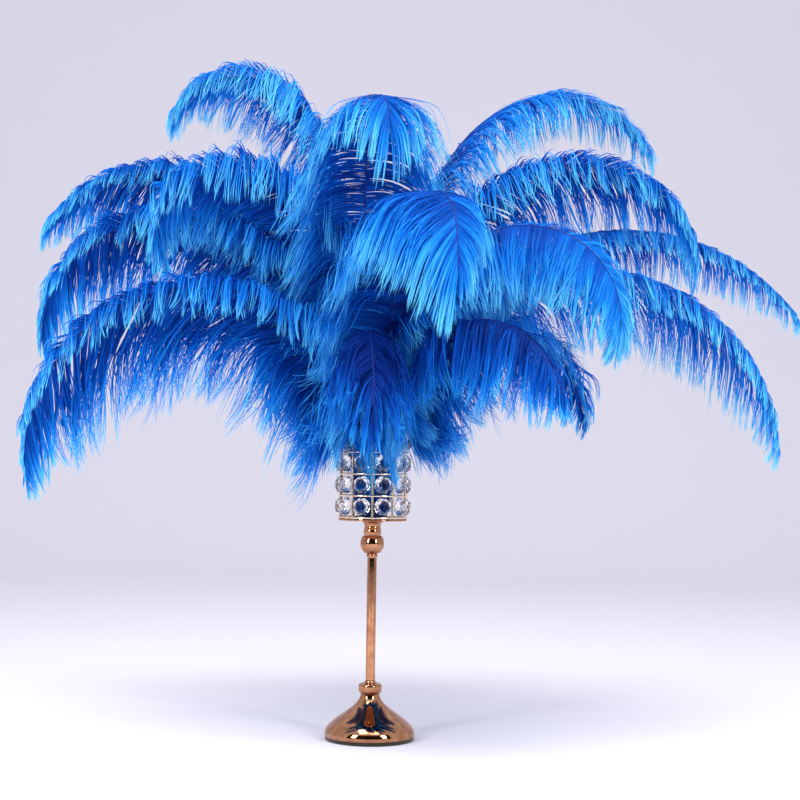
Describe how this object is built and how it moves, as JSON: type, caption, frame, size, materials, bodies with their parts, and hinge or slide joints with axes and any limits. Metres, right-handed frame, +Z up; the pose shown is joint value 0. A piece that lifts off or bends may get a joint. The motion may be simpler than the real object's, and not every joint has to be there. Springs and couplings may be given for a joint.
{
  "type": "ostrich feather centrepiece",
  "caption": "Bouquet of drooping blue-dyed ostrich plumes standing in a cut-crystal cup on a slim rose-gold candlestick stand, for a table centrepiece.",
  "frame": {"origin": "middle of the underside of the felt pad, where the stand meets the table", "axes": "+Z up along the stem; -Y towards the front of the bouquet; +X along its widest spread"},
  "size_m": [1.0935, 0.7476, 0.9117],
  "materials": {
    "felt": "matte",
    "rose_gold": "polished",
    "crystal": "polished",
    "feather": "satin"
  },
  "bodies": {
    "root": {"felt_pad": "felt", "base_shell": "rose_gold", "base_collar": "rose_gold", "stem_tube": "rose_gold", "ball_knob": "rose_gold", "cup_neck": "rose_gold", "cup_plate": "rose_gold", "cup_cage": "rose_gold", "crystal_row_1": "crystal", "crystal_row_2": "crystal", "crystal_row_3": "crystal", "crystal_row_4": "crystal", "plume_front": "feather", "plume_right_front": "feather", "plume_left_low": "feather", "plume_right_low": "feather", "plume_left_middle": "feather", "plume_top": "feather", "plume_right_high": "feather", "plume_top_left": "feather", "plume_top_right": "feather", "plume_left_far": "feather", "plume_left_back": "feather", "plume_right_far": "feather", "plume_front_right_low": "feather", "plume_front_low": "feather", "plume_back_high": "feather", "plume_back_right_high": "feather", "plume_back_left": "feather", "plume_back_left_low": "feather", "plume_back_right_low": "feather", "plume_back_low": "feather"}
  },
  "joints": []
}
